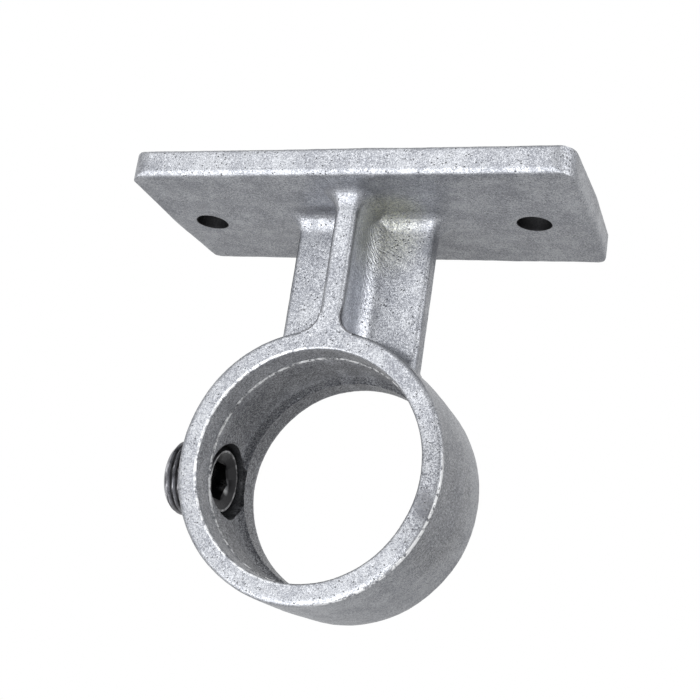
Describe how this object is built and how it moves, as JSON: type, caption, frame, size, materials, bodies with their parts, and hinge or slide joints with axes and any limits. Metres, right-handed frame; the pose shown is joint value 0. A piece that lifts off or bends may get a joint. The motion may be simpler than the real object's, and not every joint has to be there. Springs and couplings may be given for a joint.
{
  "type": "tube wall bracket",
  "caption": "Cast bracket that holds a round tube off a wall or under a ceiling: a flat screw plate, a cross-shaped stem and a ring with a hexagon-socket set screw.",
  "frame": {"origin": "centre of the plate's mounting face", "axes": "+X along the plate, away from the set screw; +Y along the tube, away from the camera of the picture; +Z towards the wall or ceiling"},
  "size_m": [0.1024, 0.0496, 0.0963],
  "materials": {
    "galvanised_iron": "hot-dip galvanised, mottled matt grey",
    "screw_steel": "dark zinc-plated steel"
  },
  "bodies": {
    "bracket": {"bracket_casting": "galvanised_iron"},
    "screw": {"set_screw": "screw_steel"}
  },
  "joints": [
    {"name": "screw_travel", "type": "slide", "parent": "bracket", "child": "screw", "axis": [1, 0, 0], "range_m": [-0.002, 0.006]}
  ]
}
